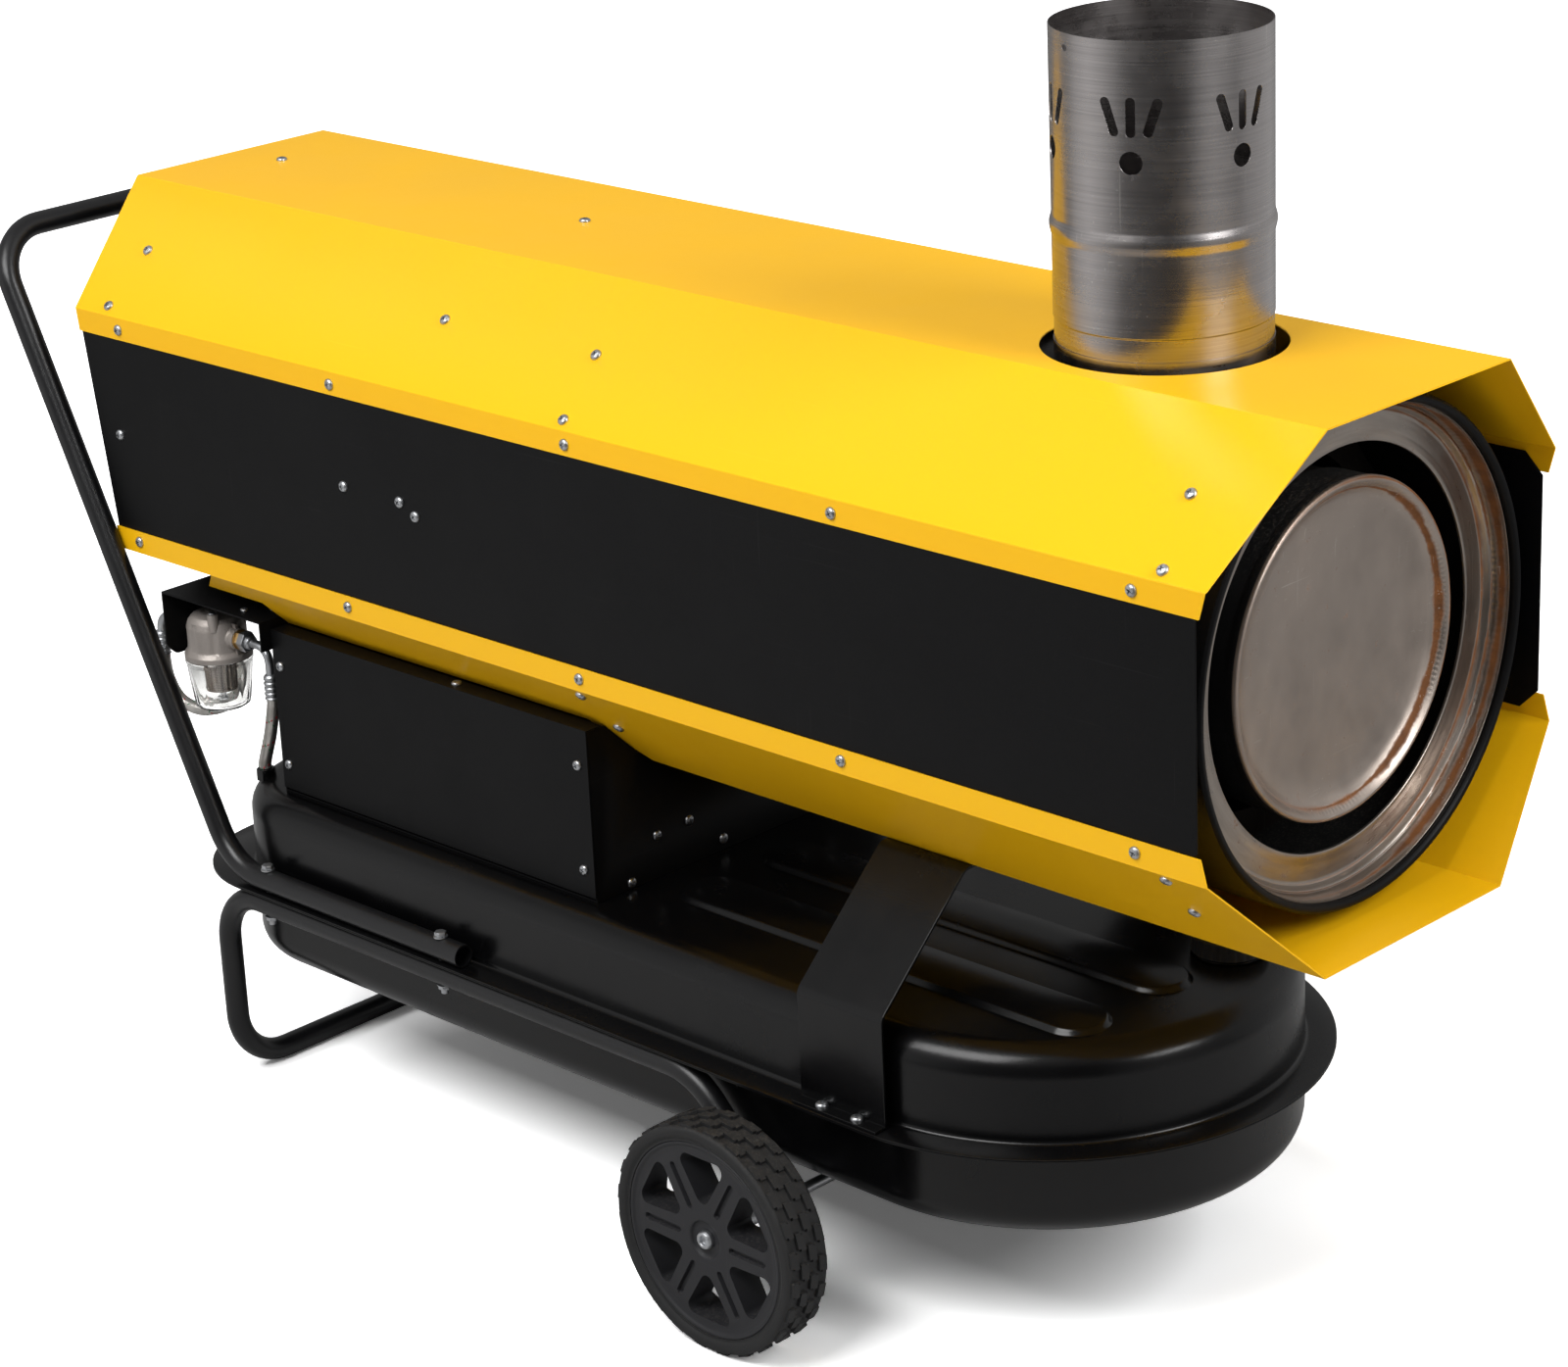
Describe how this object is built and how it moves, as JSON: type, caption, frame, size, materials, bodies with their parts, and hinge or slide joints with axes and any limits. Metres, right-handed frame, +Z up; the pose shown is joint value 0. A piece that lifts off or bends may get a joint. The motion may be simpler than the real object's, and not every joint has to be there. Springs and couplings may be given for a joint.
{
  "type": "forced air heater",
  "caption": "Mobile oil-fired air heater: folded octagonal casing with round outlet and flue, on a fuel tank with a tube handle, leg frame and wheels.",
  "frame": {"origin": "centre of the footprint on the floor, under the middle of the bounding box", "axes": "+X along the casing towards the warm air outlet, +Y away from the side with the fuel filter, +Z up"},
  "size_m": [1.7345, 0.744, 1.27],
  "materials": {
    "yellow_paint": "satin warm yellow powder coat",
    "black_paint": "satin black powder coat",
    "tank_paint": "semi-gloss black paint",
    "stainless": "brushed stainless sheet",
    "raw_steel": "bare pressed steel, heat-marked",
    "zinc": "zinc plated",
    "cast_metal": "grey die casting",
    "black_plastic": "moulded black",
    "red_plastic": "moulded red",
    "rim_plastic": "moulded black",
    "tyre": "solid black rubber",
    "clear_bowl": "clear",
    "strainer": "fine mesh",
    "braid": "braided sleeve"
  },
  "bodies": {
    "heater": {"top_cover": "yellow_paint", "lower_cover": "yellow_paint", "side_panel_left": "black_paint", "side_panel_right": "black_paint", "air_duct": "black_paint", "outlet_ring": "raw_steel", "combustion_chamber": "raw_steel", "chamber_end": "raw_steel", "heat_exchanger": "raw_steel", "front_spider": "raw_steel", "rear_spider": "raw_steel", "front_cradle": "zinc", "flue_socket": "stainless", "flue_pipe": "stainless", "fan_guard": "black_paint", "fan_motor": "cast_metal", "motor_mount": "zinc", "blast_tube": "stainless", "burner_housing": "cast_metal", "burner_motor": "black_paint", "fuel_pump": "cast_metal", "ignition_transformer": "black_plastic", "tank_upper_shell": "tank_paint", "tank_lower_shell": "tank_paint", "fuel_gauge": "black_plastic", "drain_plug": "zinc", "front_support": "tank_paint", "control_box": "black_paint", "control_cover_left": "black_paint", "control_cover_right": "black_paint", "control_panel": "cast_metal", "pilot_lamp": "red_plastic", "thermostat_socket": "black_plastic", "power_inlet": "black_plastic", "handle_tube": "tank_paint", "leg_frame": "tank_paint", "axle": "zinc", "hub_cap_left": "zinc", "hub_cap_right": "zinc", "frame_bolt_front_left": "zinc", "frame_bolt_front_right": "zinc", "frame_bolt_rear_left": "zinc", "frame_bolt_rear_right": "zinc", "filter_head": "cast_metal", "filter_bowl": "clear_bowl", "filter_strainer": "strainer", "filter_bracket": "black_paint", "suction_fitting": "zinc", "supply_fitting": "zinc", "suction_hose": "braid", "supply_hose": "braid"},
    "left_wheel": {"wheel_rim_left": "rim_plastic", "tyre_left": "tyre"},
    "right_wheel": {"wheel_rim_right": "rim_plastic", "tyre_right": "tyre"},
    "fan": {"fan_impeller": "black_plastic"},
    "burner_blower": {"burner_wheel": "zinc"},
    "switch_knob": {"main_switch": "red_plastic"},
    "reset": {"reset_button": "red_plastic"},
    "tank_cap": {"filler_cap": "black_plastic"}
  },
  "joints": [
    {"name": "left_wheel_spin", "type": "hinge", "parent": "heater", "child": "left_wheel", "pos_m": [0.30425, -0.3455, 0.12], "axis": [0, 1, 0], "continuous": true},
    {"name": "right_wheel_spin", "type": "hinge", "parent": "heater", "child": "right_wheel", "pos_m": [0.30425, 0.3455, 0.12], "axis": [0, 1, 0], "continuous": true},
    {"name": "fan_spin", "type": "hinge", "parent": "heater", "child": "fan", "pos_m": [-0.64775, 0, 0.725], "axis": [1, 0, 0], "continuous": true},
    {"name": "burner_spin", "type": "hinge", "parent": "heater", "child": "burner_blower", "pos_m": [-0.42075, 0, 0.725], "axis": [0, 1, 0], "continuous": true},
    {"name": "switch_turn", "type": "hinge", "parent": "heater", "child": "switch_knob", "pos_m": [-0.5, 0.003, 0.428], "axis": [1, 0, 0], "range_deg": [-60, 60]},
    {"name": "reset_press", "type": "slide", "parent": "heater", "child": "reset", "axis": [1, 0, 0], "range_m": [0, 0.003], "stiffness_N_per_m": 400},
    {"name": "cap_turn", "type": "hinge", "parent": "heater", "child": "tank_cap", "pos_m": [0.57725, 0.098, 0.35], "axis": [0, 0, 1], "range_deg": [-90, 0]}
  ]
}
